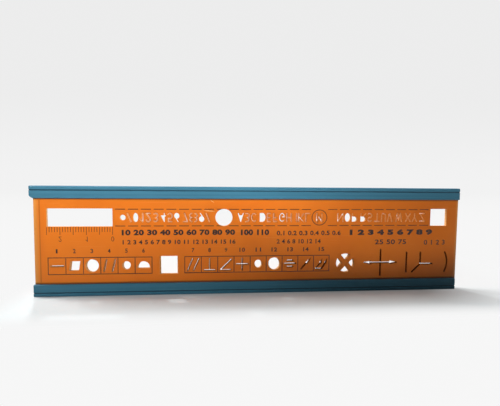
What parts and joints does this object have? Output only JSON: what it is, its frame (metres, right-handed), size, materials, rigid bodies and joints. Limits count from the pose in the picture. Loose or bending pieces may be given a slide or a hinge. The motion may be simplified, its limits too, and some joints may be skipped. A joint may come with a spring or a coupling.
{
  "type": "drawing stencil",
  "caption": "Slim plastic drawing stencil: a thin plate with cut-out characters, tolerance symbols and a scale window, held between slotted rails that lift it off the paper.",
  "frame": {"origin": "middle of the lower rail's outer edge, on the surface that the stencil stands on", "axes": "+X along the stencil towards the square cut-outs' end, +Z from the lower rail to the upper rail, -Y out of the printed face"},
  "size_m": [0.1754, 0.0038, 0.0436],
  "materials": {
    "plate": "clear-toned orange, polished",
    "rail": "blue, satin"
  },
  "bodies": {
    "root": {"plate": "plate", "upper_rail": "rail", "lower_rail": "rail"}
  },
  "joints": []
}
